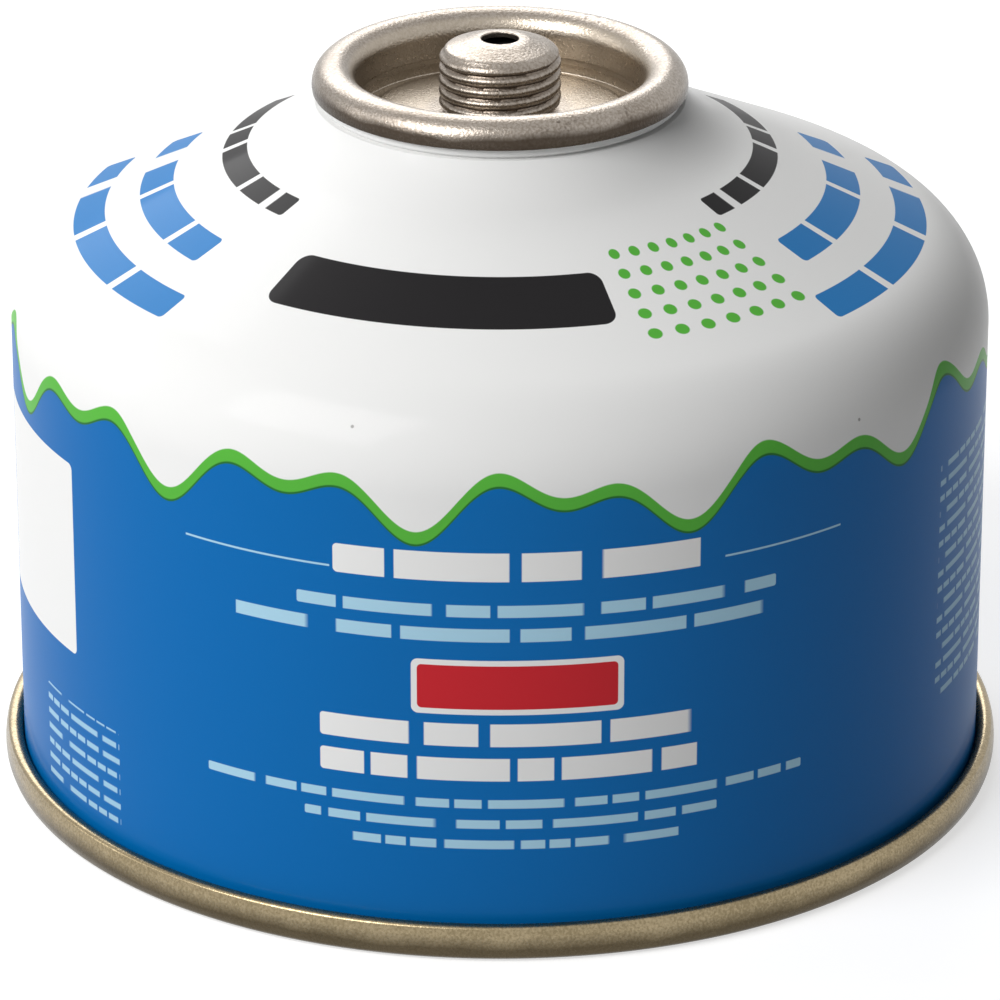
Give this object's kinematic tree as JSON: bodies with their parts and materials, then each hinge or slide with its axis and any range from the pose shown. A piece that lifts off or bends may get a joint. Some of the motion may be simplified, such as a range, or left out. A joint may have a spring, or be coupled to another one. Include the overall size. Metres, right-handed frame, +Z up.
{
  "type": "fuel canister",
  "caption": "Squat round gas canister with a domed shoulder, double-seamed base and a screw valve in a crimped cup.",
  "frame": {"origin": "centre of the base rim, on the surface that the canister stands on", "axes": "+Z up along the canister's axis, through the valve; -Y is the side that the picture shows"},
  "size_m": [0.09, 0.09, 0.0674],
  "materials": {
    "printed_can": "glossy printed lacquer, blue below and white above",
    "gold_tinplate": "satin tinplate with a pale gold lacquer",
    "tinplate": "satin tinplate with fine grain",
    "black_rubber": "matte",
    "white_plastic": "matte moulded",
    "black_plastic": "satin moulded",
    "spring_steel": "drawn wire"
  },
  "bodies": {
    "can": {"can_body": "printed_can", "base_end": "gold_tinplate", "valve_cup": "tinplate", "cup_gasket": "black_rubber", "stem_gasket": "black_rubber", "valve_housing": "white_plastic", "return_spring": "spring_steel"},
    "plunger": {"valve_plunger": "black_plastic"}
  },
  "joints": [
    {"name": "valve_press", "type": "slide", "parent": "can", "child": "plunger", "axis": [0, 0, -1], "range_m": [0, 0.0015], "stiffness_N_per_m": 600, "springref_m": -0.002, "deforming": ["return_spring"]}
  ]
}
